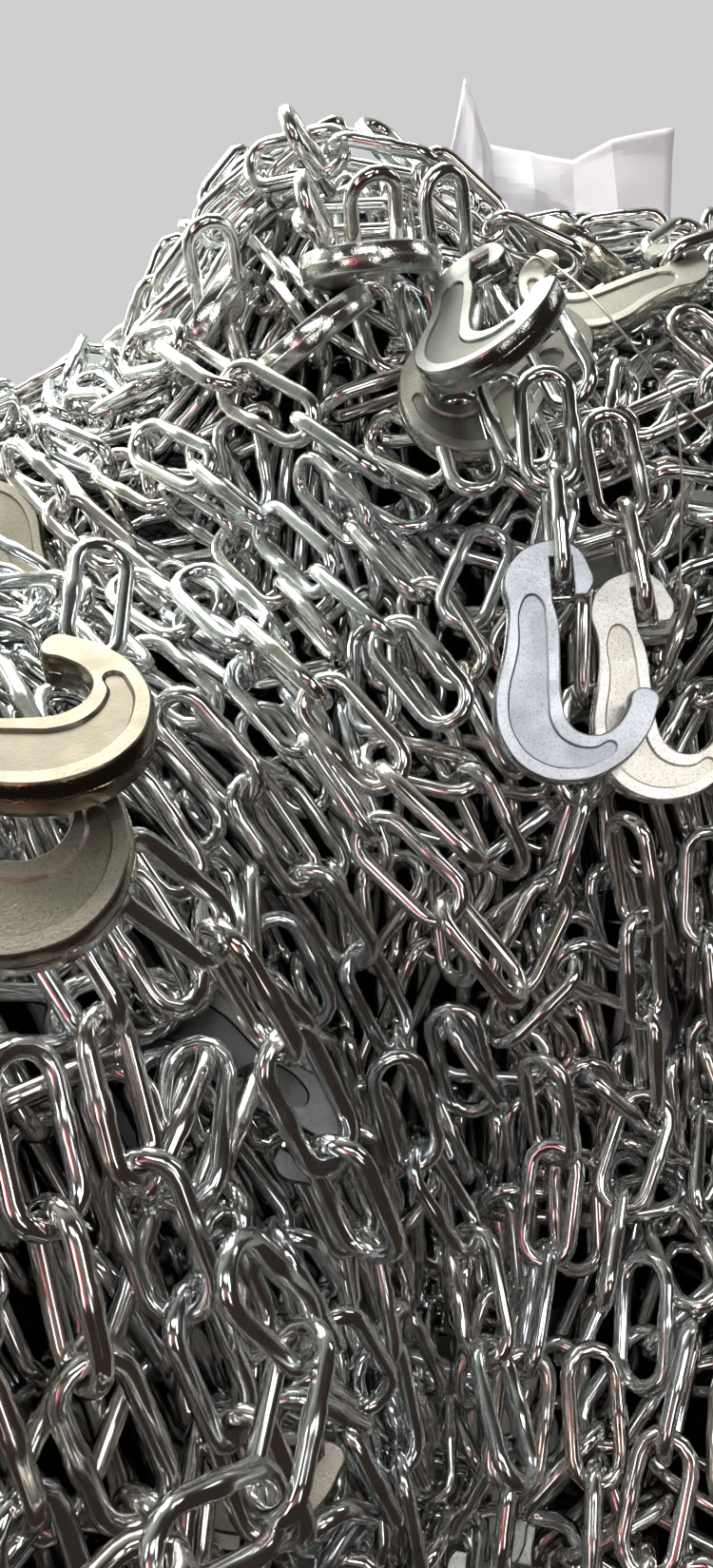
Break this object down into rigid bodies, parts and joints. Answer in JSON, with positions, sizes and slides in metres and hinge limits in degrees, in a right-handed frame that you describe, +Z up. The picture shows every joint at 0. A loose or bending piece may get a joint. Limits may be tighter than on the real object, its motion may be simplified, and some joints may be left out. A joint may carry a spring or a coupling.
{
  "type": "heap of steel chain",
  "caption": "Loose heap of bright zinc-plated long-link steel chain with forged C hooks, a bare paper label and tie wires, standing on the floor.",
  "frame": {"origin": "on the floor under the heap's peak, in the plane of the flat face that it rests on", "axes": "+Z up, -Y towards the viewer of the picture, +X to that viewer's right"},
  "size_m": [1.9921, 1.9754, 1.1339],
  "materials": {
    "zinc_wire": "bright zinc plating on welded wire, glossy with faint handling marks",
    "hook_forging": "zinc plating on forged steel, satin and finely grained",
    "hidden_chain": "dark, the chain inside the heap",
    "label_paper": "plain pale paper, creased",
    "tie_wire": "thin drawn steel wire"
  },
  "bodies": {
    "root": {"heap_core": "hidden_chain", "hook_peak_flat": "hook_forging", "hook_peak_slant": "hook_forging", "hook_left_crest": "hook_forging", "hook_left_edge": "hook_forging", "hook_right_low": "hook_forging", "hook_low_dark": "hook_forging", "hook_right_eye": "hook_forging", "hook_cream": "hook_forging", "hook_upright": "hook_forging", "hook_right_back": "hook_forging", "hook_front": "hook_forging", "hook_left_lower": "hook_forging", "hook_left_upper": "hook_forging", "hook_peak_flat_pin": "zinc_wire", "hook_peak_slant_pin": "zinc_wire", "hook_left_crest_pin": "zinc_wire", "hook_left_edge_pin": "zinc_wire", "hook_right_low_pin": "zinc_wire", "hook_low_dark_pin": "zinc_wire", "hook_right_eye_pin": "zinc_wire", "hook_cream_pin": "zinc_wire", "hook_upright_pin": "zinc_wire", "hook_right_back_pin": "zinc_wire", "hook_front_pin": "zinc_wire", "hook_left_lower_pin": "zinc_wire", "hook_left_upper_pin": "zinc_wire", "hook_front_chain": "zinc_wire", "hook_right_back_chain": "zinc_wire", "hook_right_eye_chain": "zinc_wire", "strand_crest_left": "zinc_wire", "strand_shoulder": "zinc_wire", "strand_upper_mid": "zinc_wire", "strand_mid_right": "zinc_wire", "strand_left_drop": "zinc_wire", "strand_mid": "zinc_wire", "strand_mid_low": "zinc_wire", "strand_low_left": "zinc_wire", "strand_near_left": "zinc_wire", "strand_near_edge": "zinc_wire", "strand_near_bottom": "zinc_wire", "strand_low_mid": "zinc_wire", "strand_valley": "zinc_wire", "strand_right_hang": "zinc_wire", "strand_right_side": "zinc_wire", "strand_right_top": "zinc_wire", "strand_peak": "zinc_wire", "strand_mid_upper": "zinc_wire", "strand_foot": "zinc_wire", "strand_left_side": "zinc_wire", "strand_left_back": "zinc_wire", "strand_back_left": "zinc_wire", "strand_back": "zinc_wire", "strand_back_right": "zinc_wire", "strand_right_back": "zinc_wire", "strand_right_flank": "zinc_wire", "strand_lobe_left": "zinc_wire", "paper_label": "label_paper", "tie_wire_top": "tie_wire", "tie_wire_right": "tie_wire"}
  },
  "joints": []
}
